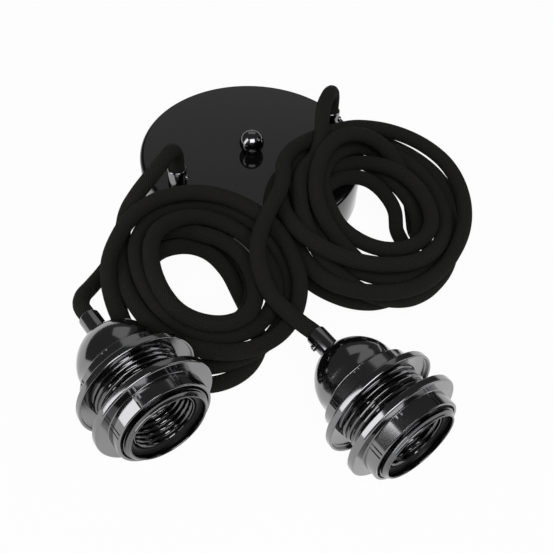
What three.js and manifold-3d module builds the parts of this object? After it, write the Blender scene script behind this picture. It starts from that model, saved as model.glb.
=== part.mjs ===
// Two-lamp pendant cord set: a ceiling cup with two cord grips, two coiled textile cords and two
// metal lamp holders with shade rings. Millimetres, +Z up. The set lies on a surface as it comes out
// of its box: the cup on its open rim, both holders on the flanges of their shade rings.
import * as THREE from 'three';
import { mergeVertices } from 'three/addons/utils/BufferGeometryUtils.js';
import Module from 'manifold-3d';

const wasm = await Module();
wasm.setup();

const gap = 0.3;                // clearance between two pieces that touch

// Ceiling cup
const cupRadius = 60;
const cupHeight = 25;
const cupWall = 1.2;
const cupCorner = 2.6;
const cordHoleRadius = 4.6;
const gripCircleRadius = 48.2;  // the cord grips stand on this circle round the cup's centre
const gripAngles = { left: 183.2, right: -9.9 };

// Fixing inside the cup
const strapLength = 92;
const strapWidth = 18;
const strapThickness = 2;
const slotLength = 20;
const slotWidth = 5;
const slotOffset = 29;          // from the strap's middle to the middle of each slot
const studRadius = 2.5;
const studNutHeight = 4;
const studNutFlats = 8;
const ballRadius = 6.6;
const ballFootRadius = 4.2;
const ballBoreDepth = 7;

// Cord and its grips
const cordRadius = 3.8;
const gripRadius = 4.8;
const gripLength = 12.4;
const gripShankRadius = 4.2;
const gripBoreDepth = 8;
const wireRadius = 1.1;
const lockNutFlats = 12;
const lockNutHeight = 2.6;
const grubRadius = 1.5;
const grubStandOut = 0.9;

// Terminal block inside the cup
const blockLength = 26;
const blockWidth = 12;
const blockHeight = 10;
const blockScrewRadius = 1.7;

// Lamp holder, stations along its axis measured from the crown of the dome towards the mouth
const domeLength = 19.3;
const domeRadius = 18.6;
const domeWall = 1.1;
const domeCrownRadius = 7.2;
const beadLength = 1.3;
const beadRise = 0.7;
const neckLength = 5;
const shellRadius = 19.9;
const shellWall = 1.5;
const mouthStation = 55.6;
const mouthRadius = 17.8;
const lipWall = 0.9;
const bandLength = 2.4;

// Shade rings
const collarWall = 1.3;
const collarLength = 7.1;
const flangeRadius = 27;
const flangeWall = 1.1;
const flangeLip = 3.3;
const upperRingStation = 21.3;  // dome end of the upper ring's collar
const lowerRingStation = 52.7;  // mouth end of the lower ring's collar
const notchPairs = 8;
const notchWidth = 0.5;
const notchPitch = 1.5;
const notchDepth = 0.35;

// Lamp seat inside the holder
const threadRadius = 13.9;      // the lamp thread's inside at its roots
const threadWall = 0.5;
const insertBase = 5;
const insertFront = 3.2;        // from the insert's front to the holder's mouth
const contactRadius = 3.4;
const contactStem = 1.2;
const contactLift = 2;
const terminalRadius = 2.2;
const terminalReach = 9.5;

// Places, with the cup's centre at x = 0, y = 0 and the surface at z = 0
const holderPlaces = { left: [-126.1, -67.5], right: [-49.4, -131.2] };
const holderGripTurns = { left: 70, right: 170 };
const coilPlaces = { left: [-68, -66], right: [30, -76] };
const coilOuter = { left: 40, right: 52 };
const coilInner = { left: 21, right: 24 };
const coilThickness = { left: 14, right: 13 };

// Uncoiled stretches of each cord, chosen by hand, in the same frame
const leftUpper = [
  [-48.1, -2.7, 30], [-48.1, -2.7, 37], [-48.2, -2.8, 44], [-51.1, -6.0, 50], [-57.0, -12.0, 51],
  [-63.5, -19.5, 47], [-70.0, -27.0, 42.2], [-77.0, -34.5, 38.3],
];
const leftLower = [
  [-85.0, -38.5, 34.8], [-93.0, -34.5, 33.5], [-103.0, -33.2, 30.8], [-113.5, -36.4, 28.4],
  [-121.3, -42.2, 27.3], [-125.2, -48.6, 27], [-126.1, -55.1, 27], [-126.1, -62.1, 27],
];
const rightUpper = [
  [47.5, -8.3, 30], [47.5, -8.3, 37], [47.5, -8.4, 44], [46.3, -12.0, 50.5], [42.5, -18.5, 54.0],
  [36.3, -27.0, 53.8], [29.0, -36.0, 50.6],
];
const rightLower = [
  [-20.0, -46.5, 43], [-25.0, -56.0, 42.9], [-31.0, -66.0, 42.4], [-38.0, -76.0, 38.2], [-44.0, -86.0, 34],
  [-48.1, -97.0, 30], [-49.3, -108.0, 27.6], [-49.4, -117.0, 27], [-49.4, -125.8, 27],
];

// Finishes
const lacquer = { color: 0x2a2a2b, roughness: 0.16, metalness: 0.1 };
const blackNickel = { color: 0x3b3b3e, roughness: 0.12, metalness: 1 };
const zincSteel = { color: 0xb9bcc0, roughness: 0.38, metalness: 1 };
const brass = { color: 0xc9a24b, roughness: 0.3, metalness: 1 };
const blackMoulding = { color: 0x161617, roughness: 0.5, metalness: 0 };
const whiteNylon = { color: 0xe6e4dc, roughness: 0.55, metalness: 0 };
const blackTextile = { color: 0x1a1a19, roughness: 0.95, metalness: 0 };
const brownWire = { color: 0x5b3a24, roughness: 0.5, metalness: 0 };
const blueWire = { color: 0x2f5d9c, roughness: 0.5, metalness: 0 };

const group = new THREE.Group();
const turn = THREE.MathUtils.degToRad;

function addMesh(parent, name, geometry, finish) {
  const mesh = new THREE.Mesh(geometry, new THREE.MeshStandardMaterial(finish));
  mesh.name = name;
  parent.add(mesh);
  return mesh;
}

// A turned solid about +Z. The profile holds [radius, height] pairs, anticlockwise in that plane.
function turned(profile, segments) {
  const points = profile.map(([radius, height]) => new THREE.Vector2(radius, height));
  const onAxis = profile[0][0] === 0;
  if (!onAxis) points.push(points[0].clone());
  const geometry = new THREE.LatheGeometry(points, segments);
  geometry.rotateX(Math.PI / 2);
  return geometry;
}

function cylinder(radius, low, high, segments) {
  return turned([[0, low], [radius, low], [radius, high], [0, high]], segments);
}

function tube(outer, inner, low, high, segments) {
  return turned([[inner, low], [outer, low], [outer, high], [inner, high]], segments);
}

function box(sizeX, sizeY, sizeZ, x, y, z) {
  const geometry = new THREE.BoxGeometry(sizeX, sizeY, sizeZ);
  geometry.translate(x, y, z);
  return geometry;
}

function toSolid(geometry) {
  const plain = geometry.clone();
  plain.deleteAttribute('normal');
  plain.deleteAttribute('uv');
  const merged = mergeVertices(plain, 1e-4);
  const position = merged.getAttribute('position');
  const solid = new wasm.Manifold(new wasm.Mesh({
    numProp: 3,
    vertProperties: new Float32Array(position.array),
    triVerts: new Uint32Array(merged.index.array),
  }));
  return solid;
}

function toGeometry(solid) {
  const mesh = solid.getMesh();
  const geometry = new THREE.BufferGeometry();
  geometry.setAttribute('position', new THREE.BufferAttribute(new Float32Array(mesh.vertProperties), 3));
  geometry.setIndex(new THREE.BufferAttribute(new Uint32Array(mesh.triVerts), 1));
  geometry.computeVertexNormals();
  return geometry;
}

function cut(geometry, cutters) {
  let solid = toSolid(geometry);
  for (const cutter of cutters) solid = solid.subtract(toSolid(cutter));
  return toGeometry(solid);
}

function hexNut(flats, bore, low, high) {
  const corner = flats / 2 / Math.cos(Math.PI / 6);
  const shape = new THREE.Shape();
  for (let k = 0; k < 6; k += 1) {
    const angle = k * Math.PI / 3;
    const x = corner * Math.cos(angle);
    const y = corner * Math.sin(angle);
    if (k === 0) shape.moveTo(x, y);
    else shape.lineTo(x, y);
  }
  shape.closePath();
  const hole = new THREE.Path();
  hole.absarc(0, 0, bore, 0, 2 * Math.PI, true);
  shape.holes.push(hole);
  const geometry = new THREE.ExtrudeGeometry(shape, {
    depth: high - low,
    bevelEnabled: false,
    curveSegments: 16,
  });
  geometry.translate(0, 0, low);
  return geometry;
}

// A round bar along a smooth curve through the given points
function bar(points, radius, steps, sides) {
  const curve = new THREE.CatmullRomCurve3(points.map((p) => new THREE.Vector3(...p)), false, 'centripetal');
  const section = new THREE.Shape();
  section.absarc(0, 0, radius, 0, 2 * Math.PI, false);
  return new THREE.ExtrudeGeometry(section, {
    extrudePath: curve, steps, bevelEnabled: false, curveSegments: sides / 2,
  });
}

// Quarter-round corner between two straight edges of a profile
function arc(centreR, centreZ, radius, fromDegrees, toDegrees, count) {
  const points = [];
  for (let k = 0; k <= count; k += 1) {
    const angle = turn(fromDegrees + (toDegrees - fromDegrees) * k / count);
    points.push([centreR + radius * Math.cos(angle), centreZ + radius * Math.sin(angle)]);
  }
  return points;
}

// Ceiling cup, spun from sheet steel: open below, a rounded shoulder, one stud hole and two cord holes
const gripPlaces = {};
for (const side of ['left', 'right']) {
  const angle = turn(gripAngles[side]);
  gripPlaces[side] = [gripCircleRadius * Math.cos(angle), gripCircleRadius * Math.sin(angle)];
}

function cupShell() {
  const inner = cupRadius - cupWall;
  const innerCorner = cupCorner - cupWall;
  const shell = turned([
    [0, cupHeight - cupWall],
    ...arc(inner - innerCorner, cupHeight - cupCorner, innerCorner, 90, 0, 2),
    [inner, 0],
    [cupRadius, 0],
    ...arc(cupRadius - cupCorner, cupHeight - cupCorner, cupCorner, 0, 90, 4),
    [0, cupHeight],
  ], 56);
  const holes = [cylinder(studRadius + gap, 0, cupHeight + 1, 16)];
  for (const side of ['left', 'right']) {
    const hole = cylinder(cordHoleRadius, 1, cupHeight + 1, 20);
    hole.translate(gripPlaces[side][0], gripPlaces[side][1], 0);
    holes.push(hole);
  }
  return cut(shell, holes);
}

// Ceiling strap with a slot on each side of the stud, threaded stud, its nut and the ball nut
function strap() {
  const cutters = [cylinder(studRadius + gap, -1, strapThickness + 1, 16)];
  for (const sign of [-1, 1]) {
    cutters.push(box(slotLength, slotWidth, strapThickness + 2, sign * slotOffset, 0, strapThickness / 2));
  }
  return cut(box(strapLength, strapWidth, strapThickness, 0, 0, strapThickness / 2), cutters);
}

function ballNut() {
  const seat = cupHeight + gap;
  const footAngle = Math.asin(ballFootRadius / ballRadius);
  const centre = seat + ballRadius * Math.cos(footAngle);
  const bore = studRadius + gap;
  const profile = [[0, seat + ballBoreDepth], [bore, seat + ballBoreDepth], [bore, seat]];
  const start = -90 + THREE.MathUtils.radToDeg(footAngle);
  const round = arc(0, centre, ballRadius, start, 90, 11);
  round[round.length - 1][0] = 0;
  return turned([...profile, ...round], 24);
}

// Terminal block beside the strap, with a clamping screw for each wire
const blockPlace = [0, strapWidth / 2 + blockWidth / 2 + 3];
const blockBase = cupHeight - cupWall - gap - blockHeight;
const screwPlaces = [];
for (const along of [-1, 1]) {
  for (const across of [-1, 1]) {
    screwPlaces.push([blockPlace[0] + along * blockLength / 4, blockPlace[1] + across * blockWidth / 4]);
  }
}

function terminalBlock() {
  const cutters = [];
  for (const [x, y] of screwPlaces) {
    const hole = cylinder(blockScrewRadius + gap, blockBase - 1, blockBase + blockHeight / 2, 12);
    hole.translate(x, y, 0);
    cutters.push(hole);
    const side = Math.sign(x - blockPlace[0]);
    const entry = cylinder(wireRadius + 2 * gap, -1, blockLength / 4, 10);
    entry.rotateY(-side * Math.PI / 2);
    entry.translate(blockPlace[0] + side * blockLength / 2, y, blockBase + blockHeight * 0.7);
    cutters.push(entry);
  }
  const body = box(blockLength, blockWidth, blockHeight, ...blockPlace, blockBase + blockHeight / 2);
  return cut(body, cutters);
}

// Cord grip: a smooth barrel on the outside, a bore for the cord, and a threaded shank held by a nut.
// Its seat is at height 0 and the barrel stands up from it. The grub screw clamps the cord.
function gripBarrel(shankLength) {
  const bore = cordRadius + gap;
  const shankBore = gripShankRadius - 1.1;
  const floor = gripLength - gripBoreDepth;
  const barrel = turned([
    [shankBore, -shankLength],
    [gripShankRadius, -shankLength],
    [gripShankRadius, gap],
    [gripRadius - 0.4, gap],
    [gripRadius, gap + 0.4],
    [gripRadius, gripLength - 0.5],
    [gripRadius - 0.4, gripLength],
    [bore, gripLength],
    [bore, floor],
    [shankBore, floor],
  ], 20);
  const hole = cylinder(grubRadius + gap / 2, 0, 2 * gripRadius, 10);
  hole.rotateY(Math.PI / 2);
  hole.translate(0, 0, gripLength / 2 + 1);
  return cut(barrel, [hole]);
}

function grubScrew() {
  const screw = cylinder(grubRadius, cordRadius + gap, gripRadius + grubStandOut, 10);
  screw.rotateY(Math.PI / 2);
  screw.translate(0, 0, gripLength / 2 + 1);
  return screw;
}

// Holder pieces, turned about +Z with the dome's crown at height 0 and the mouth above it
const shellInner = shellRadius - shellWall;
const neckOuter = domeRadius - domeWall - gap;
const neckInner = neckOuter - shellWall;
const domeEnd = domeLength + beadLength;
const insertSeat = domeEnd + gap + shellWall + gap;
const insertTop = mouthStation - insertFront;
const insertFloor = insertSeat + insertBase;

function domeCurve(radius, crown, top, foot, count) {
  const curve = new THREE.CubicBezierCurve(
    new THREE.Vector2(crown, top),
    new THREE.Vector2(crown + 0.25 * (radius - crown), top),
    new THREE.Vector2(radius - 0.6, top + 0.45 * (foot - top)),
    new THREE.Vector2(radius, foot),
  );
  return curve.getPoints(count).map((p) => [p.x, p.y]);
}

function domeCap() {
  const shoulder = 0.8 * domeLength;
  const outer = domeCurve(domeRadius, domeCrownRadius, 0, shoulder, 8);
  const inner = domeCurve(domeRadius - domeWall, domeCrownRadius - domeWall / 2, domeWall, shoulder, 7);
  const hole = gripShankRadius + gap;
  return turned([
    [hole, 0],
    ...outer,
    [domeRadius, domeLength],
    [domeRadius + beadRise, domeLength],
    [domeRadius + beadRise, domeEnd],
    [domeRadius - domeWall, domeEnd],
    ...inner.reverse(),
    [hole, domeWall],
  ], 40);
}

function bodyShell() {
  const shoulder = domeEnd + gap;
  const bandStart = mouthStation - bandLength;
  const mouthInner = mouthRadius - lipWall;
  return turned([
    [neckInner, domeEnd - neckLength],
    [neckOuter, domeEnd - neckLength],
    [neckOuter, shoulder],
    [shellRadius, shoulder],
    [shellRadius, bandStart],
    [mouthRadius + 0.5, bandStart + 0.5],
    [mouthRadius, mouthStation - 0.7],
    [mouthRadius, mouthStation],
    [mouthInner, mouthStation],
    [mouthInner, mouthStation - lipWall],
    [shellInner, mouthStation - insertFront + lipWall],
    [shellInner, shoulder + shellWall],
    [neckInner, shoulder + shellWall],
  ], 40);
}

// Shade ring: a notched collar and a flange whose edge is turned up into a lip. The collar's free end
// is at height 0 and the flange's lip points to +Z.
function shadeRing() {
  const bore = shellRadius + gap;
  const collar = bore + collarWall;
  const disc = collarLength + flangeWall;
  const lipTop = collarLength + flangeLip;
  const ring = turned([
    [bore, 0],
    [collar - 0.4, 0],
    [collar, 0.4],
    [collar, collarLength],
    [flangeRadius - 0.7, collarLength],
    [flangeRadius, collarLength + 0.7],
    [flangeRadius, lipTop],
    [flangeRadius - flangeWall, lipTop],
    [flangeRadius - flangeWall, disc],
    [bore, disc],
  ], 40);
  const cutters = [];
  for (let k = 0; k < notchPairs; k += 1) {
    for (const side of [-0.5, 0.5]) {
      const notch = box(2 * notchDepth, notchWidth, 1.5 * collarLength, collar, side * notchPitch, 0);
      notch.rotateZ((k + 0.5) * 2 * Math.PI / notchPairs);
      cutters.push(notch);
    }
  }
  return cut(ring, cutters);
}

// Black moulded insert that carries the lamp thread and the contacts
function lampInsert() {
  const outer = shellInner - gap;
  const back = neckInner - gap;
  const well = threadRadius + threadWall + gap;
  const body = turned([
    [0, insertSeat - neckLength / 2],
    [back, insertSeat - neckLength / 2],
    [back, insertSeat],
    [outer, insertSeat],
    [outer, insertTop],
    [well, insertTop],
    [well, insertFloor],
    [0, insertFloor],
  ], 32);
  const cutters = [cylinder(contactStem + gap, insertFloor - insertBase, insertFloor + 1, 10)];
  for (const side of [-1, 1]) {
    const hole = cylinder(terminalRadius / 2 + gap, 0, insertSeat, 10);
    hole.translate(side * terminalReach, 0, 0);
    cutters.push(hole);
  }
  return cut(body, cutters);
}

function lampThread() {
  return tube(threadRadius + threadWall, threadRadius, insertFloor + gap, insertTop - gap, 32);
}

function centreContact() {
  const stemLow = insertFloor - insertBase + gap;
  const button = insertFloor + contactLift;
  return turned([
    [0, stemLow],
    [contactStem, stemLow],
    [contactStem, insertFloor + gap],
    [contactRadius, insertFloor + gap],
    [contactRadius, button - 0.4],
    [contactRadius - 0.5, button],
    [0, button],
  ], 16);
}

function sideContact() {
  const height = 5;
  const across = threadRadius - 1.4 - 0.8;
  return box(0.6, 4, height, across, 0, insertFloor + gap + height / 2);
}

function terminalScrew(side) {
  const face = insertSeat - neckLength / 2 - gap;
  const screw = turned([
    [0, face - 1.6],
    [terminalRadius, face - 1.6],
    [terminalRadius, face],
    [terminalRadius / 2, face],
    [terminalRadius / 2, insertSeat - gap],
    [0, insertSeat - gap],
  ], 12);
  screw.translate(side * terminalReach, 0, 0);
  return screw;
}

// Wires inside a holder, from the cord grip to the terminal screws
function holderWire(side) {
  const start = gripLength - gripBoreDepth;
  const end = insertSeat - neckLength / 2 - 1.6 - 2 * gap - wireRadius;
  const inset = wireRadius + gap;
  return bar([
    [side * inset, 0, -start],
    [side * inset, 0, lockNutHeight + domeWall + 2],
    [side * (terminalReach * 0.6), 0, end - 2.5],
    [side * terminalReach, 0, end],
  ], wireRadius, 10, 8);
}

function addGrip(parent, name, shankLength, nutSeat) {
  addMesh(parent, `${name}_cord_grip`, gripBarrel(shankLength), blackNickel);
  addMesh(parent, `${name}_grip_screw`, grubScrew(), blackNickel);
  const nutTop = -nutSeat - gap;
  const nut = hexNut(lockNutFlats, gripShankRadius + gap, nutTop - lockNutHeight, nutTop);
  addMesh(parent, `${name}_grip_nut`, nut, zincSteel);
}

function buildCup() {
  const cup = new THREE.Group();
  addMesh(cup, 'ceiling_cup', cupShell(), lacquer);
  addMesh(cup, 'ceiling_strap', strap(), zincSteel);
  const studTop = cupHeight + gap + ballBoreDepth - gap;
  addMesh(cup, 'centre_stud', cylinder(studRadius, gap, studTop, 16), zincSteel);
  const nutLow = strapThickness + gap;
  addMesh(cup, 'stud_nut', hexNut(studNutFlats, studRadius + gap, nutLow, nutLow + studNutHeight), zincSteel);
  addMesh(cup, 'ball_nut', ballNut(), blackNickel);
  addMesh(cup, 'terminal_block', terminalBlock(), whiteNylon);
  screwPlaces.forEach(([x, y], index) => {
    const screw = cylinder(blockScrewRadius, blockBase + 1, blockBase + blockHeight / 2 - gap, 12);
    screw.translate(x, y, 0);
    addMesh(cup, `terminal_block_screw_${index + 1}`, screw, brass);
  });
  for (const side of ['left', 'right']) {
    const grip = new THREE.Group();
    grip.position.set(gripPlaces[side][0], gripPlaces[side][1], cupHeight);
    grip.rotation.z = turn(-50);
    addGrip(grip, `cup_${side}`, cupWall + gap + lockNutHeight + 1.5, cupWall);
    cup.add(grip);
    addCupWires(cup, side);
  }
  return cup;
}

// Wires inside the cup, from each cord grip to the terminal block
function addCupWires(cup, side) {
  const [gripX, gripY] = gripPlaces[side];
  const sign = Math.sign(gripX);
  const inset = wireRadius + gap;
  const entry = blockPlace[0] + sign * (blockLength / 2 - blockLength / 4 + gap * 2);
  const height = blockBase + blockHeight * 0.7;
  [['brown', -1, brownWire], ['blue', 1, blueWire]].forEach(([colour, across, finish]) => {
    const y = blockPlace[1] + across * blockWidth / 4;
    const wire = bar([
      [gripX, gripY + across * inset, cupHeight + gripLength - gripBoreDepth - gap],
      [gripX, gripY + across * inset, cupHeight - cupWall - lockNutHeight - 4],
      [gripX * 0.93, gripY + across * 3.4 + 4, cupHeight - cupWall - lockNutHeight - 8],
      [gripX * 0.6, y + across * 1.5, height - 3],
      [entry + sign * 9, y, height],
      [entry, y, height],
    ], wireRadius, 20, 8);
    addMesh(cup, `cup_${side}_${colour}_wire`, wire, finish);
  });
}

function buildHolder(side) {
  const holder = new THREE.Group();
  const name = `holder_${side}`;
  const back = new THREE.Group();
  back.rotation.x = Math.PI;
  back.rotation.z = turn(holderGripTurns[side]);
  addGrip(back, name, domeWall + gap + lockNutHeight + 1.5, domeWall);
  holder.add(back);
  addMesh(holder, `${name}_dome_cap`, domeCap(), blackNickel);
  addMesh(holder, `${name}_body_shell`, bodyShell(), blackNickel);
  const upper = addMesh(holder, `${name}_upper_ring`, shadeRing(), blackNickel);
  upper.position.z = upperRingStation;
  const lower = addMesh(holder, `${name}_lower_ring`, shadeRing(), blackNickel);
  lower.rotation.x = Math.PI;
  lower.position.z = lowerRingStation;
  addMesh(holder, `${name}_lamp_insert`, lampInsert(), blackMoulding);
  addMesh(holder, `${name}_lamp_thread`, lampThread(), blackNickel);
  addMesh(holder, `${name}_centre_contact`, centreContact(), brass);
  addMesh(holder, `${name}_side_contact`, sideContact(), brass);
  addMesh(holder, `${name}_terminal_screw_a`, terminalScrew(-1), brass);
  addMesh(holder, `${name}_terminal_screw_b`, terminalScrew(1), brass);
  addMesh(holder, `${name}_brown_wire`, holderWire(-1), brownWire);
  addMesh(holder, `${name}_blue_wire`, holderWire(1), blueWire);
  holder.rotation.x = Math.PI / 2;
  holder.position.set(...holderPlaces[side], flangeRadius);
  return holder;
}

// Tilt of a coil that touches the surface on its side away from the cup and clears the cup's rim
function coilTilt(distance, outer, half) {
  const clearance = (tilt) => {
    const atRim = (distance - cupRadius - half * Math.sin(tilt)) * Math.tan(tilt);
    return atRim + outer * Math.sin(tilt) - cupHeight;
  };
  let degrees = 8;
  while (clearance(turn(degrees)) < 2 * gap) degrees += 0.1;
  return turn(degrees);
}

// One round coil as a ring. It leans on the cup's rim with its side towards the cup's centre.
function coilRing(side) {
  const outer = coilOuter[side];
  const inner = coilInner[side];
  const half = coilThickness[side] / 2;
  const middle = (outer + inner) / 2;
  const reach = (outer - inner) / 2;
  const bevel = 0.3 * half;
  const section = [
    [inner, -half + bevel], [inner + bevel, -half], [outer - bevel, -half], [outer, -half + bevel],
    [outer, half - bevel], [outer - bevel, half], [inner + bevel, half], [inner, half - bevel],
  ];
  const geometry = turned(section, 36);
  const [x, y] = coilPlaces[side];
  const distance = Math.hypot(x, y);
  const axis = new THREE.Vector3(-y, x, 0).normalize();
  const tilt = coilTilt(distance, middle + reach - bevel, half);
  geometry.applyMatrix4(new THREE.Matrix4().makeRotationAxis(axis, tilt));
  geometry.computeBoundingBox();
  geometry.translate(x, y, gap - geometry.boundingBox.min.z);
  return geometry;
}

const cordSides = 8;
const set = new THREE.Group();
set.add(buildCup());
set.add(buildHolder('left'));
set.add(buildHolder('right'));

// The set's origin is under the middle of its hard pieces, on the surface
set.updateMatrixWorld(true);
const bounds = new THREE.Box3().setFromObject(set);
const middle = bounds.getCenter(new THREE.Vector3());
addMesh(set, 'cord_left_to_coil', bar(leftUpper, cordRadius, 14, cordSides), blackTextile);
addMesh(set, 'cord_left_coil', coilRing('left'), blackTextile);
addMesh(set, 'cord_left_to_holder', bar(leftLower, cordRadius, 10, cordSides), blackTextile);
addMesh(set, 'cord_right_to_coil', bar(rightUpper, cordRadius, 12, cordSides), blackTextile);
addMesh(set, 'cord_right_coil', coilRing('right'), blackTextile);
addMesh(set, 'cord_right_to_holder', bar(rightLower, cordRadius, 20, cordSides), blackTextile);
set.position.set(-middle.x, -middle.y, -bounds.min.z);
group.add(set);

export default group;
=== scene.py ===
# Pendant cord set as it lies on a table: a ceiling cup, two coiled textile cords and two lamp holders.
# The row frame has +Z up and +Y from the lamp holders' mouths towards the ceiling cup.
import math

import bmesh
import bpy
from mathutils import Matrix, Vector


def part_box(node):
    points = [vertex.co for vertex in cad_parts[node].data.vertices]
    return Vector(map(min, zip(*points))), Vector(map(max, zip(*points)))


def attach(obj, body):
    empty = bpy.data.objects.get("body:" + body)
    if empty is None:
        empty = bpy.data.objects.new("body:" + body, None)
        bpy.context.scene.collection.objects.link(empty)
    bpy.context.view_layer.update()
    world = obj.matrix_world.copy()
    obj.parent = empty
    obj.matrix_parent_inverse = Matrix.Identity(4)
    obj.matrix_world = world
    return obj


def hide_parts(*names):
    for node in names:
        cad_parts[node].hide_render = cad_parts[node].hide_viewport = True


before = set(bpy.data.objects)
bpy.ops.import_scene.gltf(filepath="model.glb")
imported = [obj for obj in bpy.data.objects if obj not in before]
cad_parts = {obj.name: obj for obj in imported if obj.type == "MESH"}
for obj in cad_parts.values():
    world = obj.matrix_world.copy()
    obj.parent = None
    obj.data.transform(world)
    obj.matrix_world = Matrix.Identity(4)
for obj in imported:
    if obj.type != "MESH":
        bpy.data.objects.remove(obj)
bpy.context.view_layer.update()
scene = bpy.context.scene
scene.view_settings.view_transform = "Standard"

# Camera: a moderate lens from above the holders' side, looking down on the cup at about 50 degrees. Its
# place and turn were fitted to the cup's rim and to both holders.
camera = bpy.data.objects.new("camera", bpy.data.cameras.new("camera"))
scene.collection.objects.link(camera)
camera.matrix_world = Matrix((
    (0.80539, 0.42297, -0.41527, -0.15142),
    (-0.59124, 0.62323, -0.51188, -0.20909),
    (0.04230, 0.65779, 0.75202, 0.30631),
    (0, 0, 0, 1),
))
camera.data.sensor_width = 36
camera.data.lens = 52.08
camera.data.clip_start = 0.01
scene.camera = camera


# Table and surroundings: a white sweep. Rays from the camera and from the polished pieces see it mostly as
# an even glow, so that it stays white, and its small diffuse share keeps the set's soft shadow.
def node(tree, kind, **values):
    made = tree.nodes.new(kind)
    for key, value in values.items():
        if hasattr(made, key):
            setattr(made, key, value)
        else:
            made.inputs[key.replace("_", " ")].default_value = value
    return made


floor_mesh = bmesh.new()
bmesh.ops.create_circle(floor_mesh, cap_ends=True, segments=64, radius=3)
floor = bpy.data.objects.new("floor", bpy.data.meshes.new("floor"))
floor_mesh.to_mesh(floor.data)
floor_mesh.free()
scene.collection.objects.link(floor)
glow_share = 0.96
paper = bpy.data.materials.new("white_paper")
paper.use_nodes = True
tree = paper.node_tree
tree.nodes.clear()
out = node(tree, "ShaderNodeOutputMaterial")
blend = node(tree, "ShaderNodeMixShader")
matt = node(tree, "ShaderNodeBsdfDiffuse", Color=(0.9, 0.9, 0.9, 1))
glow = node(tree, "ShaderNodeEmission", Color=(1, 1, 1, 1), Strength=1.0)
path = node(tree, "ShaderNodeLightPath")
straight = node(tree, "ShaderNodeMath", operation="MAXIMUM")
seen = node(tree, "ShaderNodeMath", operation="MAXIMUM")
share = node(tree, "ShaderNodeMath", operation="MULTIPLY")
share.inputs[1].default_value = glow_share
tree.links.new(path.outputs["Is Camera Ray"], straight.inputs[0])
tree.links.new(path.outputs["Is Glossy Ray"], straight.inputs[1])
tree.links.new(straight.outputs[0], seen.inputs[0])
tree.links.new(path.outputs["Is Transmission Ray"], seen.inputs[1])
tree.links.new(seen.outputs[0], share.inputs[0])
tree.links.new(share.outputs[0], blend.inputs["Fac"])
tree.links.new(matt.outputs[0], blend.inputs[1])
tree.links.new(glow.outputs[0], blend.inputs[2])
tree.links.new(blend.outputs[0], out.inputs["Surface"])
floor.data.materials.append(paper)

world = bpy.data.worlds.new("studio")
scene.world = world
world.use_nodes = True
world.node_tree.nodes["Background"].inputs["Color"].default_value = (0.97, 0.98, 1, 1)
world.node_tree.nodes["Background"].inputs["Strength"].default_value = 0.07

# Studio lamps: a soft box above the camera, a long strip on the left, a low strip on the right, and a
# large dim panel behind the set that the glossy cup mirrors.
for name, place, target, size, power in (
    ("soft_box", (-0.35, -0.75, 1.15), (0.0, 0.0, 0.0), (1.1, 0.8), 11.5),
    ("left_strip", (-1.0, 0.25, 0.55), (-0.02, 0.0, 0.02), (0.45, 1.1), 5),
    ("right_strip", (0.8, -0.55, 0.35), (0.0, -0.06, 0.02), (0.3, 0.9), 1.2),
    ("panel", (0.634, 0.872, 0.858), (0.0466, 0.0634, 0.025), (1.0, 0.8), 0.9),
):
    lamp = bpy.data.objects.new(name, bpy.data.lights.new(name, "AREA"))
    lamp.data.shape = "RECTANGLE"
    lamp.data.size, lamp.data.size_y = size
    lamp.data.energy = power
    lamp.location = place
    lamp.rotation_euler = (Vector(target) - Vector(place)).to_track_quat("-Z", "Y").to_euler()
    scene.collection.objects.link(lamp)


# Ceiling cup: spun steel sheet, lacquered gloss black, with a rounded shoulder and a hemmed lower rim.
# Each finish of the set has a slow change of gloss over the surface and a fine bump, as handled parts show.
def finish(name, colour, metallic, roughness, spread, grain, bump):
    mat = bpy.data.materials.new(name)
    mat.use_nodes = True
    tree = mat.node_tree
    shader = tree.nodes["Principled BSDF"]
    shader.inputs["Metallic"].default_value = metallic
    where = node(tree, "ShaderNodeTexCoord")
    cloud = node(tree, "ShaderNodeTexNoise", Scale=grain, Detail=3.0)
    fine = node(tree, "ShaderNodeTexNoise", Scale=grain * 22, Detail=2.0)
    gloss = node(tree, "ShaderNodeMapRange")
    gloss.inputs["To Min"].default_value = roughness - spread
    gloss.inputs["To Max"].default_value = roughness + spread
    tint = node(tree, "ShaderNodeMix", data_type="RGBA")
    tint.inputs[6].default_value = (*[c * 0.88 for c in colour], 1)
    tint.inputs[7].default_value = (*[c * 1.12 for c in colour], 1)
    relief = node(tree, "ShaderNodeBump", Strength=bump, Distance=0.0001)
    for texture in (cloud, fine):
        tree.links.new(where.outputs["Object"], texture.inputs["Vector"])
    tree.links.new(cloud.outputs[0], gloss.inputs["Value"])
    tree.links.new(cloud.outputs[0], tint.inputs[0])
    tree.links.new(fine.outputs[0], relief.inputs["Height"])
    tree.links.new(gloss.outputs[0], shader.inputs["Roughness"])
    tree.links.new(tint.outputs[2], shader.inputs["Base Color"])
    tree.links.new(relief.outputs[0], shader.inputs["Normal"])
    return mat


def bend(centre_r, centre_h, radius, start, end, count):
    """A round of a profile, from one angle to another, as (radius, height) points."""
    angles = [math.radians(start + (end - start) * k / count) for k in range(count + 1)]
    return [(centre_r + radius * math.cos(a), centre_h + radius * math.sin(a)) for a in angles]


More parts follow.
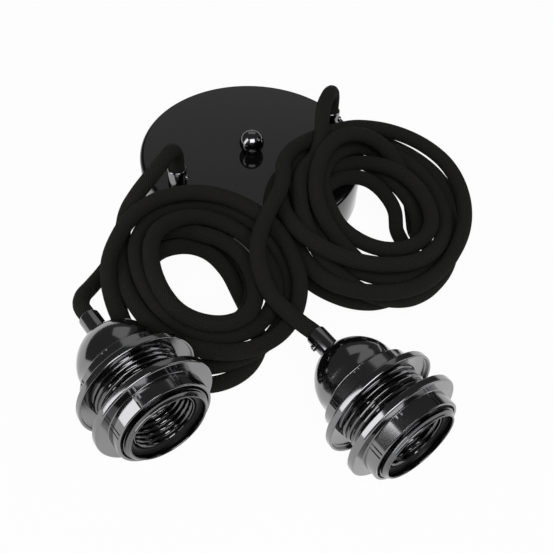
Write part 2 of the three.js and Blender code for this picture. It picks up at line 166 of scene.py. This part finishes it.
def turned(profile, parts, edge, closed=True):
    """A profile of (radius, height) in millimetres, spun round +Z, with its hard edges rounded by edge."""
    bm = bmesh.new()
    verts = [bm.verts.new((r / 1000, 0, h / 1000)) for r, h in profile]
    pairs = list(zip(verts, verts[1:]))
    if closed:
        pairs.append((verts[-1], verts[0]))
    edges = [bm.edges.new(pair) for pair in pairs]
    bmesh.ops.spin(
        bm, geom=verts + edges, cent=(0, 0, 0), axis=(0, 0, 1), dvec=(0, 0, 0),
        angle=math.tau, steps=parts, use_merge=True,
    )
    bmesh.ops.remove_doubles(bm, verts=bm.verts, dist=1e-6)
    bmesh.ops.recalc_face_normals(bm, faces=bm.faces)
    if edge:
        hard = [e for e in bm.edges if len(e.link_faces) == 2 and e.calc_face_angle(0) > 0.7]
        bmesh.ops.bevel(
            bm, geom=hard, offset=edge / 1000, segments=2, profile=0.5, affect="EDGES",
            material=-1, clamp_overlap=True,
        )
    return bm


def piece(name, bm, place, mat, slot, *nodes):
    """A finished piece at its place in the set, smooth but for its creases, instead of its CAD nodes."""
    for face in bm.faces:
        face.smooth = True
    for e in bm.edges:
        e.smooth = len(e.link_faces) == 2 and e.calc_face_angle(0) < 0.6
    bm.transform(place)
    made = bpy.data.objects.new(name, bpy.data.meshes.new(name))
    bm.to_mesh(made.data)
    bm.free()
    scene.collection.objects.link(made)
    made.data.materials.append(mat)
    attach(made, "root")
    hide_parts(*nodes)
    return made


lacquer = finish("black_lacquer", (0.004, 0.004, 0.0042), 0.0, 0.06, 0.02, 14, 0.03)
low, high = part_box("ceiling_cup")
cup_x = (low[0] + high[0]) / 2
cup_y = (low[1] + high[1]) / 2
cup_z = high[2]
cup_r = (high[0] - low[0]) * 500
cup_h = cup_z * 1000
cup_at = Matrix.Translation((cup_x, cup_y, 0))
wall, shoulder, hem = 1.2, 2.6, 0.6
shell = turned(
    [(0, cup_h - wall)]
    + bend(cup_r - shoulder, cup_h - shoulder, shoulder - wall, 90, 0, 6)
    + [(cup_r - wall, 0.35)]
    + bend(cup_r - hem, hem, hem, 200, 360, 6)
    + bend(cup_r - shoulder, cup_h - shoulder, shoulder, 0, 90, 10)
    + [(0, cup_h)],
    parts=192, edge=0, closed=False,
)
piece("ceiling_cup_shell", shell, cup_at, lacquer, "black_lacquer", "ceiling_cup")

# Ball nut: a turned ball with a flat foot and a blind hole for the stud's thread, plated with polished black
# nickel and screwed down on the stud. It stands just clear of the cup's face.
nickel = finish("black_nickel", (0.23, 0.23, 0.235), 1.0, 0.13, 0.03, 60, 0.01)
ball_r, foot_r, hole_r, hole_depth, gap = 6.6, 4.2, 2.8, 7.0, 0.3
foot_angle = math.degrees(math.asin(foot_r / ball_r))
foot_h = cup_h + gap
ball_h = foot_h + ball_r * math.cos(math.radians(foot_angle))
ball = turned(
    [(0, foot_h + hole_depth), (hole_r, foot_h + hole_depth), (hole_r, foot_h)]
    + bend(0, ball_h, ball_r, foot_angle - 90, 90, 28)[:-1]
    + [(0, ball_h + ball_r)],
    parts=96, edge=0, closed=False,
)
piece("ball_nut_polished", ball, cup_at, nickel, "black_nickel", "ball_nut")


# Cord grips: turned and plated barrels with a chamfered nose and a bore for the cord. The shank goes through
# the wall into its nut, and a grub screw with a round socket sits in the barrel's side.
def cord_grip(name, node_name, seat, turn):
    shank = 5.6 if node_name.startswith("cup") else 5.5
    screw_r, screw_length, screw_out, screw_up = 1.5, 1.6, 4.9, 7.2
    barrel = turned([
        (3.1, -shank), (4.2, -shank), (4.2, 0.3), (4.5, 0.3), (4.8, 0.7), (4.8, 11.6), (4.75, 11.9),
        (4.55, 12.2), (4.3, 12.4), (4.1, 12.3), (4.1, 4.4), (3.1, 4.4),
    ], parts=72, edge=0.1)
    piece(f"{name}_barrel", barrel, seat, nickel, "black_nickel", f"{node_name}_cord_grip")
    screw = bmesh.new()
    bmesh.ops.create_cone(
        screw, cap_ends=True, segments=28, radius1=screw_r, radius2=screw_r, depth=screw_length,
    )
    rims = [e for e in screw.edges if e.calc_face_angle(0) > 1]
    bmesh.ops.bevel(screw, geom=rims, offset=0.2, segments=2, profile=0.5, affect="EDGES", material=-1)
    ends = [f for f in screw.faces if f.normal.z > 0.99]
    bmesh.ops.inset_region(screw, faces=ends, thickness=0.35, use_even_offset=True)
    bmesh.ops.translate(screw, verts=list({v for f in ends for v in f.verts}), vec=(0, 0, -0.5))
    bmesh.ops.scale(screw, verts=screw.verts, vec=(0.001, 0.001, 0.001))
    at = seat @ Matrix.Rotation(turn, 4, "Z") @ Matrix.Translation((screw_out / 1000, 0, screw_up / 1000))
    at = at @ Matrix.Rotation(math.pi / 2, 4, "Y")
    piece(f"{name}_grub", screw, at, nickel, "black_nickel", f"{node_name}_grip_screw")


for side in ("left", "right"):
    low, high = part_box(f"cup_{side}_cord_grip")
    seat = Matrix.Translation(((low[0] + high[0]) / 2, (low[1] + high[1]) / 2, cup_z))
    cord_grip(f"cup_{side}_grip", f"cup_{side}", seat, math.radians(-50))


# Cords: a round sleeve of braided textile over the mains cores. Each one is clamped in its grip on the cup,
# rises out of it, bends over, lies in a loose coil of several turns and runs on into its holder's grip.
cord_diameter = 0.0076


def spiral(centre, start, turns):
    """Radii and heights in millimetres, 18 a turn round the coil's middle, become 36 points a turn."""
    def smooth(a, b, c, d, t):
        return 0.5 * (2 * b + (c - a) * t + (2 * a - 5 * b + 4 * c - d) * t ** 2
                      + (3 * b - a - 3 * c + d) * t ** 3)
    points = []
    for k in range(len(turns) - 1):
        around = [turns[min(max(k + i, 0), len(turns) - 1)] for i in (-1, 0, 1, 2)]
        for part in (0, 0.5):
            radius, height = (smooth(*[a[i] for a in around], part) for i in (0, 1))
            angle = math.radians(start + 20 * (k + part))
            points.append((
                centre[0] + radius * math.cos(angle), centre[1] + radius * math.sin(angle), height,
            ))
    return points


def route(points, step):
    """Even steps along a centripetal curve through the points, from millimetres to metres."""
    pts = [Vector(p) / 1000 for p in points]
    pts = [2 * pts[0] - pts[1]] + pts + [2 * pts[-1] - pts[-2]]
    line = []
    for p0, p1, p2, p3 in zip(pts, pts[1:], pts[2:], pts[3:]):
        t1 = (p1 - p0).length ** 0.5
        t2 = t1 + (p2 - p1).length ** 0.5
        t3 = t2 + (p3 - p2).length ** 0.5
        for k in range(12):
            t = t1 + (t2 - t1) * k / 12
            a1 = p0.lerp(p1, t / t1)
            a2 = p1.lerp(p2, (t - t1) / (t2 - t1))
            a3 = p2.lerp(p3, (t - t2) / (t3 - t2))
            b1 = a1.lerp(a2, t / t2)
            b2 = a2.lerp(a3, (t - t1) / (t3 - t1))
            line.append(b1.lerp(b2, (t - t1) / (t2 - t1)))
    line.append(pts[-2])
    run = [0.0]
    for a, b in zip(line, line[1:]):
        run.append(run[-1] + (b - a).length)
    count = round(run[-1] / step)
    even, k = [], 0
    for i in range(count + 1):
        want = run[-1] * i / count
        while k < len(run) - 2 and run[k + 1] < want:
            k += 1
        even.append(line[k].lerp(line[k + 1], (want - run[k]) / (run[k + 1] - run[k])))
    return even, run[-1]


def sleeve(name, points, mat, nodes):
    """A round tube along the points. Its UV map runs once round it and in metres along it."""
    line, length = route(points, 0.0018)
    bm = bmesh.new()
    uv = bm.loops.layers.uv.new("UVMap")
    sides, radius = 20, cord_diameter / 2
    forward = (line[1] - line[0]).normalized()
    across = forward.orthogonal().normalized()
    rings = []
    for i, point in enumerate(line):
        ahead = (line[min(i + 1, len(line) - 1)] - line[max(i - 1, 0)]).normalized()
        across = (across - ahead * across.dot(ahead)).normalized()
        up = ahead.cross(across)
        rings.append([
            bm.verts.new(point + radius * (across * math.cos(a) + up * math.sin(a)))
            for a in (math.tau * s / sides for s in range(sides))
        ])
    along = length / (len(line) - 1)
    for i, (one, two) in enumerate(zip(rings, rings[1:])):
        for s in range(sides):
            face = bm.faces.new((one[s], one[(s + 1) % sides], two[(s + 1) % sides], two[s]))
            for loop, (u, v) in zip(face.loops, ((s, i), (s + 1, i), (s + 1, i + 1), (s, i + 1))):
                loop[uv].uv = (u / sides, v * along)
    bm.faces.new(reversed(rings[0]))
    bm.faces.new(rings[-1])
    made = piece(name, bm, Matrix(), mat, "black_textile", *nodes)
    return length


textile = bpy.data.materials.new("black_textile")
textile.use_nodes = True
tree = textile.node_tree
shader = tree.nodes["Principled BSDF"]
shader.inputs["Roughness"].default_value = 0.9
shader.inputs["Specular IOR Level"].default_value = 0.06
shader.inputs["Sheen Weight"].default_value = 0.015
shader.inputs["Sheen Roughness"].default_value = 0.5
where = node(tree, "ShaderNodeUVMap")
parts = node(tree, "ShaderNodeSeparateXYZ")
tree.links.new(where.outputs[0], parts.inputs[0])
# Two sets of yarns wind round the cord in opposite directions.
yarns_round, yarn_pitch = 20, 0.0015
yarns = []
for sign in (1, -1):
    along = node(tree, "ShaderNodeMath", operation="MULTIPLY")
    along.inputs[1].default_value = sign * math.tau / yarn_pitch
    phase = node(tree, "ShaderNodeMath", operation="MULTIPLY_ADD")
    phase.inputs[1].default_value = math.tau * yarns_round
    wave = node(tree, "ShaderNodeMath", operation="SINE")
    tree.links.new(parts.outputs[1], along.inputs[0])
    tree.links.new(parts.outputs[0], phase.inputs[0])
    tree.links.new(along.outputs[0], phase.inputs[2])
    tree.links.new(phase.outputs[0], wave.inputs[0])
    yarns.append(wave)
weave = node(tree, "ShaderNodeMath", operation="MAXIMUM")
tree.links.new(yarns[0].outputs[0], weave.inputs[0])
tree.links.new(yarns[1].outputs[0], weave.inputs[1])
there = node(tree, "ShaderNodeTexCoord")
fuzz = node(tree, "ShaderNodeTexNoise", Scale=1800.0, Detail=2.0)
tree.links.new(there.outputs["Object"], fuzz.inputs["Vector"])
height = node(tree, "ShaderNodeMath", operation="MULTIPLY_ADD")
height.inputs[1].default_value = 0.9
tree.links.new(fuzz.outputs[0], height.inputs[0])
tree.links.new(weave.outputs[0], height.inputs[2])
# The colour follows the same height. It is darker in the grooves between the yarns, which is painted shade,
# and lighter on the yarns' crowns, which is painted light. A random fibre tone from the noise lies on top.
shade = node(tree, "ShaderNodeMapRange")
shade.inputs["From Min"].default_value = -0.6
shade.inputs["From Max"].default_value = 1.9
tree.links.new(height.outputs[0], shade.inputs["Value"])
tint = node(tree, "ShaderNodeMix", data_type="RGBA")
tint.inputs[6].default_value = (0.0025, 0.0024, 0.0022, 1)
tint.inputs[7].default_value = (0.027, 0.0265, 0.0245, 1)
tree.links.new(shade.outputs[0], tint.inputs[0])
tree.links.new(tint.outputs[2], shader.inputs["Base Color"])
relief = node(tree, "ShaderNodeBump", Strength=0.8, Distance=0.0002)
tree.links.new(height.outputs[0], relief.inputs["Height"])
tree.links.new(relief.outputs[0], shader.inputs["Normal"])

# Routes in millimetres: out of the cup's grip as places, round the coil as (radius, height), and on as
# places into the holder's grip.
left_start = [
    (-1.6, 60.7, 30.0), (-1.6, 60.7, 35.0), (-1.5, 60.7, 37.5), (-1.5, 60.7, 45.0),
    (-5.9, 56.9, 52.8), (-13.9, 51.4, 54.3), (-22.7, 48.8, 50.5), (-30.9, 47.6, 44.9),
    (-37.9, 46.5, 37.9), (-43.6, 41.5, 31.4), (-49.7, 31.2, 27.9),
]
left_turns = [
    (32.7, 28.9), (30.9, 27.7), (30.6, 26.4), (31.8, 24.9), (34.5, 23.6), (37.6, 22.4),
    (41.9, 21.2), (45.3, 20.2), (47.5, 20.4), (48.0, 26.0), (46.0, 31.5), (44.7, 35.3),
    (43.0, 38.8), (41.4, 42.0), (40.2, 43.7), (39.4, 43.9), (39.0, 42.4), (38.8, 38.6),
    (39.4, 33.3), (38.7, 24.7), (38.1, 15.7), (39.8, 9.8), (42.8, 6.4), (43.6, 4.3),
    (42.2, 3.8), (37.9, 4.1), (29.9, 5.3), (23.1, 7.3), (20.3, 10.6), (20.0, 14.6),
    (20.9, 18.0), (22.7, 21.0), (23.9, 23.4), (24.6, 25.0), (25.0, 26.2), (24.7, 26.5),
    (24.3, 26.0), (23.8, 24.6), (23.7, 22.7), (23.8, 20.8), (23.9, 18.7), (24.1, 17.2),
    (24.3, 16.2), (24.6, 15.5), (25.0, 15.1), (25.8, 14.8), (26.8, 14.4), (27.9, 14.0),
    (29.7, 14.1), (32.3, 14.4), (34.7, 14.7), (37.0, 14.7), (38.3, 14.1), (38.1, 12.8),
    (37.2, 11.2), (35.6, 9.2), (33.9, 7.2), (33.2, 6.3), (34.3, 6.7), (36.2, 8.1),
    (38.7, 10.5), (40.9, 12.3), (42.2, 14.8), (43.3, 18.8), (42.9, 24.1), (41.6, 28.3),
    (42.5, 30.9), (42.6, 33.8), (41.0, 35.6), (37.8, 36.4), (33.9, 36.4), (29.6, 36.0),
    (26.0, 34.9), (24.3, 33.2), (23.9, 31.1), (24.9, 28.8), (27.0, 26.2), (29.7, 23.9),
    (33.0, 21.8), (35.5, 21.0), (36.8, 21.6), (36.8, 23.1), (35.3, 25.5), (34.1, 28.2),
    (33.1, 31.4), (31.5, 35.1), (29.4, 38.2), (26.5, 40.3), (23.9, 41.7), (21.4, 42.0),
    (19.6, 41.5), (19.3, 40.3), (20.2, 38.5), (22.6, 36.5), (26.2, 34.1), (29.2, 31.7),
    (31.3, 29.4), (31.6, 27.6), (29.2, 25.9), (26.8, 25.4), (25.8, 26.1), (25.3, 27.3),
    (25.1, 28.8), (24.8, 30.6),
]
left_end = [
    (-13.3, 20.4, 31.0), (-17.8, 26.3, 30.4), (-24.4, 33.5, 28.1), (-32.5, 38.1, 24.7),
    (-41.4, 40.8, 21.0), (-50.9, 39.8, 18.2), (-59.9, 35.8, 16.6), (-68.3, 30.6, 17.9),
    (-74.8, 24.4, 22.1), (-79.1, 16.2, 25.9), (-79.6, 8.9, 27.1), (-79.6, 6.3, 27.0),
    (-79.6, 1.3, 27.0),
]
right_start = [
    (94.0, 55.1, 30.0), (94.0, 55.1, 35.0), (94.1, 55.1, 37.5), (93.9, 55.0, 45.0),
    (90.9, 52.7, 51.4), (83.7, 47.4, 55.8), (75.7, 41.3, 56.0), (68.9, 33.9, 54.9),
    (63.4, 27.3, 50.0), (56.4, 22.5, 44.9), (47.4, 18.6, 45.3), (39.6, 13.1, 44.8),
]
right_turns = [
    (47.4, 39.6), (51.4, 32.6), (54.6, 24.8), (54.6, 16.3), (52.2, 11.8), (46.1, 10.2),
    (41.1, 10.7), (37.1, 13.2), (35.1, 16.3), (36.0, 19.7), (38.1, 23.5), (39.6, 26.1),
    (40.4, 28.0), (41.6, 29.3), (44.3, 29.8), (48.9, 29.4), (54.8, 29.0), (58.4, 29.3),
    (60.5, 28.2), (59.8, 16.9), (57.3, 11.6), (51.7, 7.5), (40.9, 4.1), (26.7, 3.8),
    (16.6, 3.9), (11.2, 4.8), (8.7, 6.8), (8.7, 9.7), (9.9, 13.2), (10.8, 16.9),
    (11.9, 20.6), (14.4, 24.3), (18.1, 27.8), (22.7, 30.1), (28.2, 31.1), (33.6, 31.1),
    (38.2, 31.2), (45.3, 27.9), (47.2, 24.3), (46.8, 21.4), (44.5, 18.4), (39.4, 15.4),
    (32.3, 10.9), (24.1, 6.2), (18.9, 5.0), (19.1, 7.5), (21.6, 13.2), (24.5, 23.3),
    (26.2, 35.4), (28.3, 43.7), (29.9, 49.1), (31.7, 51.8), (33.8, 51.7), (36.5, 48.7),
    (39.5, 42.4), (40.8, 35.0), (39.8, 24.8), (39.7, 16.2), (39.2, 12.0), (37.8, 7.5),
    (36.8, 4.5), (37.6, 5.2), (39.8, 7.6), (42.7, 11.0), (45.8, 15.1), (47.6, 19.3),
    (48.6, 23.8), (49.6, 29.2), (50.2, 34.8), (49.8, 38.3), (48.4, 40.2), (46.4, 38.6),
    (45.3, 28.7), (38.4, 18.8), (33.7, 14.8), (29.8, 12.3), (26.5, 11.1), (23.8, 11.2),
    (21.5, 12.4), (19.5, 14.6), (17.8, 17.0), (16.4, 19.6), (15.9, 22.0), (16.9, 23.9),
    (19.7, 25.6), (25.7, 27.9), (33.5, 29.8), (40.9, 31.6), (47.8, 32.7), (53.0, 34.7),
    (55.6, 36.9), (56.5, 38.2), (53.3, 35.6), (48.4, 31.9), (43.5, 28.4), (38.3, 24.8),
    (34.3, 22.5), (31.4, 21.9), (29.6, 22.2), (29.4, 23.5), (30.5, 25.3), (32.1, 27.6),
    (33.0, 30.5), (33.2, 34.1), (33.3, 37.7), (33.3, 39.6), (33.4, 39.7), (33.6, 39.2),
    (33.3, 36.9), (33.3, 31.3), (32.7, 28.0), (32.5, 26.2), (31.3, 25.1), (29.3, 24.9),
    (26.9, 25.3), (23.7, 26.3), (20.8, 27.8), (18.9, 29.6), (17.7, 31.3), (17.6, 32.7),
    (18.4, 33.7), (20.9, 34.1), (25.4, 33.5), (31.6, 32.1), (39.6, 30.8), (47.5, 29.2),
    (53.0, 28.9), (57.6, 26.4), (62.2, 25.8), (58.7, 23.7), (53.3, 21.5), (46.6, 20.5),
    (42.3, 20.8), (41.0, 22.1), (41.1, 24.3), (42.4, 27.0), (44.1, 30.2), (44.7, 33.4),
    (44.7, 36.6), (44.6, 39.6), (44.1, 42.5),
]
right_end = [
    (83.0, 34.4, 42.5), (75.6, 34.7, 43.6), (65.7, 33.9, 45.2), (55.9, 32.1, 47.3),
    (46.3, 29.4, 48.2), (37.8, 24.3, 48.1), (33.3, 18.3, 47.2), (26.1, 11.5, 45.6),
    (17.7, 6.5, 43.9), (9.5, 1.2, 41.7), (2.0, -5.0, 39.5), (-2.4, -10.7, 37.5),
    (-5.9, -19.2, 33.8), (-7.5, -28.4, 30.2), (-6.0, -37.9, 27.6), (-3.8, -47.5, 26.2),
    (-2.8, -54.9, 27.0), (-2.9, -57.4, 27.0), (-2.9, -62.4, 27.0),
]
left_middle, left_first_angle = (-28.7, 0.7), 144
right_middle, right_first_angle = (78.9, -9.5), 164
left_points = left_start + spiral(left_middle, left_first_angle, left_turns) + left_end
right_points = right_start + spiral(right_middle, right_first_angle, right_turns) + right_end
left_nodes = ("cord_left_to_coil", "cord_left_coil", "cord_left_to_holder")
right_nodes = ("cord_right_to_coil", "cord_right_coil", "cord_right_to_holder")
lengths = [
    sleeve("left_textile_cord", left_points, textile, left_nodes),
    sleeve("right_textile_cord", right_points, textile, right_nodes),
]


# Lamp holders: a spun dome, a threaded shell with a rolled lip, two shade rings and the lamp thread, all
# plated black nickel and screwed together along one axis. Heights are along it, from the dome's crown.
# The threaded shell and the lamp thread take a darker copy of the black nickel, which is painted shade in
# the threads and the bore. They are plated like the rest.
shaded_nickel = finish("black_nickel_shaded", (0.14, 0.14, 0.144), 1.0, 0.12, 0.03, 90, 0.01)
thread_pitch = 2.5


def holder(side, grip_turn):
    name = f"holder_{side}"
    low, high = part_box(f"{name}_dome_cap")
    at = Matrix.Translation(((low[0] + high[0]) / 2, high[1], (low[2] + high[2]) / 2))
    at = at @ Matrix.Rotation(math.pi / 2, 4, "X")
    cord_grip(f"{name}_grip", name, at @ Matrix.Rotation(math.pi, 4, "X"), math.radians(grip_turn))

    # Dome: spun brass, with a flat crown for the grip and a rolled bead round the end of its skirt.
    dome_h, hole_r, dome_wall, skirt_r, skirt_end = 15.4, 4.5, 1.1, 18.6, 19.2

    def dome_line(radius, crown, top):
        line = []
        for k in range(17):
            t = k / 16
            a, b, c, d = (1 - t) ** 3, 3 * t * (1 - t) ** 2, 3 * t * t * (1 - t), t ** 3
            middle = crown + 0.25 * (radius - crown)
            line.append((a * crown + b * middle + c * (radius - 0.6) + d * radius,
                         (a + b) * top + c * (top + 0.45 * (dome_h - top)) + d * dome_h))
        return line
    dome = turned(
        [(hole_r, 0.0)] + dome_line(skirt_r, 7.2, 0) + [(skirt_r, skirt_end)]
        + bend(skirt_r + 0.05, skirt_end + 0.75, 0.65, -90, 90, 6)
        + [(skirt_r - dome_wall, skirt_end + 1.4)]
        + dome_line(skirt_r - dome_wall, 6.65, dome_wall)[::-1] + [(hole_r, dome_wall)],
        parts=160, edge=0,
    )
    piece(f"{name}_dome", dome, at, nickel, "black_nickel", f"{name}_dome_cap")

    # Shell: a drawn tube with a rolled outer thread for the shade rings, a groove and a rolled lip.
    root_r, crest, thread_start, thread_length = 19.2, 0.75, 20.9, 32.3
    shell = turned(
        [(19.3, 20.9), (17.2, 20.9), (17.2, 15.6), (15.7, 15.6), (15.7, 22.4), (18.4, 22.4), (18.4, 52.9),
         (16.9, 54.7), (16.9, 55.3)]
        + bend(17.35, 55.15, 0.45, 180, 0, 6)
        + [(17.8, 54.8), (18.2, 54.5), (18.9, 54.2), (18.9, 54.0), (18.1, 53.7), (18.1, 53.5), (19.3, 53.2)],
        parts=144, edge=0, closed=False,
    )
    grid = bmesh.ops.create_grid(shell, x_segments=144, y_segments=116, size=0.5)
    for v in grid["verts"]:
        angle, along = (v.co.x + 0.5) * math.tau, v.co.y + 0.5
        height = thread_start + along * thread_length
        wave = 0.5 + 0.5 * math.cos(math.tau * height / thread_pitch + angle)
        ends = min(1, along * 12, (1 - along) * 12)
        radius = root_r + ends * crest * wave ** 3
        v.co = (radius * math.cos(angle) / 1000, radius * math.sin(angle) / 1000, height / 1000)
    bmesh.ops.remove_doubles(shell, verts=shell.verts, dist=1e-5)
    bmesh.ops.recalc_face_normals(shell, faces=shell.faces)
    # The shell takes the darker nickel copy: painted shade on its thread and in its bore.
    piece(f"{name}_shell", shell, at, shaded_nickel, "black_nickel", f"{name}_body_shell")

    # Shade rings: a collar with eight pairs of notches and a dished flange, screwed on so that the dishes
    # face each other.
    collar_r, notch_depth = 21.5, 0.4
    for ring, station, facing in (("upper_ring", 21.3, 1), ("lower_ring", 52.7, -1)):
        body = turned(
            [(20.2, 0.0), (21.2, 0.0), (collar_r, 0.3), (collar_r, 6.8), (21.8, 7.1), (26.3, 7.1)]
            + bend(26.2, 7.9, 0.8, -90, 0, 5)
            + [(27.0, 10.0)] + bend(26.45, 9.9, 0.55, 0, 180, 6)
            + [(25.9, 8.6), (25.5, 8.2), (20.2, 8.2)],
            parts=192, edge=0.08,
        )
        grooves = []
        for face in body.faces:
            centre = face.calc_center_median() * 1000
            radius = math.hypot(centre.x, centre.y)
            turn = math.degrees(math.atan2(centre.y, centre.x)) % 45 - 22.5
            if abs(radius - collar_r) < 0.06 and 0.5 < centre.z < 6.7 and 1.0 < abs(turn) < 2.9:
                grooves.append(face)
        cut = bmesh.ops.extrude_face_region(body, geom=grooves)
        for v in {v for v in cut["geom"] if isinstance(v, bmesh.types.BMVert)}:
            outward = Vector((v.co.x, v.co.y, 0)).normalized()
            v.co -= outward * notch_depth / 1000
        bmesh.ops.delete(body, geom=grooves, context="FACES")
        turn = Matrix.Rotation(0 if facing > 0 else math.pi, 4, "X")
        place = at @ Matrix.Translation((0, 0, station / 1000)) @ turn
        piece(f"{name}_{ring}_turned", body, place, nickel, "black_nickel", f"{name}_{ring}")

    # Lamp thread: a rolled sleeve that the lamp cap screws into, with thin crests inwards as close as the
    # shell's own.
    sleeve_r, inward, sleeve_start, sleeve_length, sleeve_wall = 13.95, 0.65, 28.0, 24.1, 0.3
    thread = bmesh.new()
    grid = bmesh.ops.create_grid(thread, x_segments=96, y_segments=180, size=0.5)
    for v in grid["verts"]:
        angle, height = (v.co.x + 0.5) * math.tau, sleeve_start + (v.co.y + 0.5) * sleeve_length
        wave = 0.5 + 0.5 * math.cos(math.tau * height / thread_pitch - angle)
        radius = sleeve_r - inward * wave ** 4
        v.co = (radius * math.cos(angle) / 1000, radius * math.sin(angle) / 1000, height / 1000)
    bmesh.ops.remove_doubles(thread, verts=thread.verts, dist=1e-5)
    bmesh.ops.recalc_face_normals(thread, faces=thread.faces)
    bmesh.ops.solidify(thread, geom=thread.faces, thickness=sleeve_wall / 1000)
    # The lamp thread takes the darker nickel copy: painted shade inside the bore.
    piece(f"{name}_thread", thread, at, shaded_nickel, "black_nickel", f"{name}_lamp_thread")


holder("left", 70)
holder("right", 170)

# Hidden fittings: zinc-plated steel strap, stud and nuts, moulded terminal block and lamp inserts, brass
# contacts and screws, and the cords' wires. They keep their CAD form and take their own finishes, the last
# one whose name fits.
zinc = finish("zinc_steel", (0.55, 0.56, 0.58), 1.0, 0.36, 0.09, 120, 0.35)
brass = finish("brass", (0.62, 0.43, 0.17), 1.0, 0.26, 0.07, 160, 0.2)
moulding = finish("black_moulding", (0.018, 0.018, 0.018), 0.0, 0.5, 0.08, 180, 0.35)
nylon = finish("white_moulding", (0.72, 0.71, 0.66), 0.0, 0.45, 0.06, 150, 0.2)
brown = finish("brown_wire", (0.11, 0.05, 0.022), 0.0, 0.42, 0.05, 200, 0.15)
blue = finish("blue_wire", (0.03, 0.09, 0.29), 0.0, 0.42, 0.05, 200, 0.15)
kept = {
    "ceiling_strap": zinc, "centre_stud": zinc, "stud_nut": zinc, "terminal_block": nylon,
    "terminal_block_screw": brass, "grip_nut": zinc, "brown_wire": brown, "blue_wire": blue,
    "lamp_insert": moulding, "centre_contact": brass, "side_contact": brass, "terminal_screw": brass,
}
for name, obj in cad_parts.items():
    match = [mat for part, mat in kept.items() if part in name]
    if match:
        for held in obj.material_slots:
            held.material = match[-1]
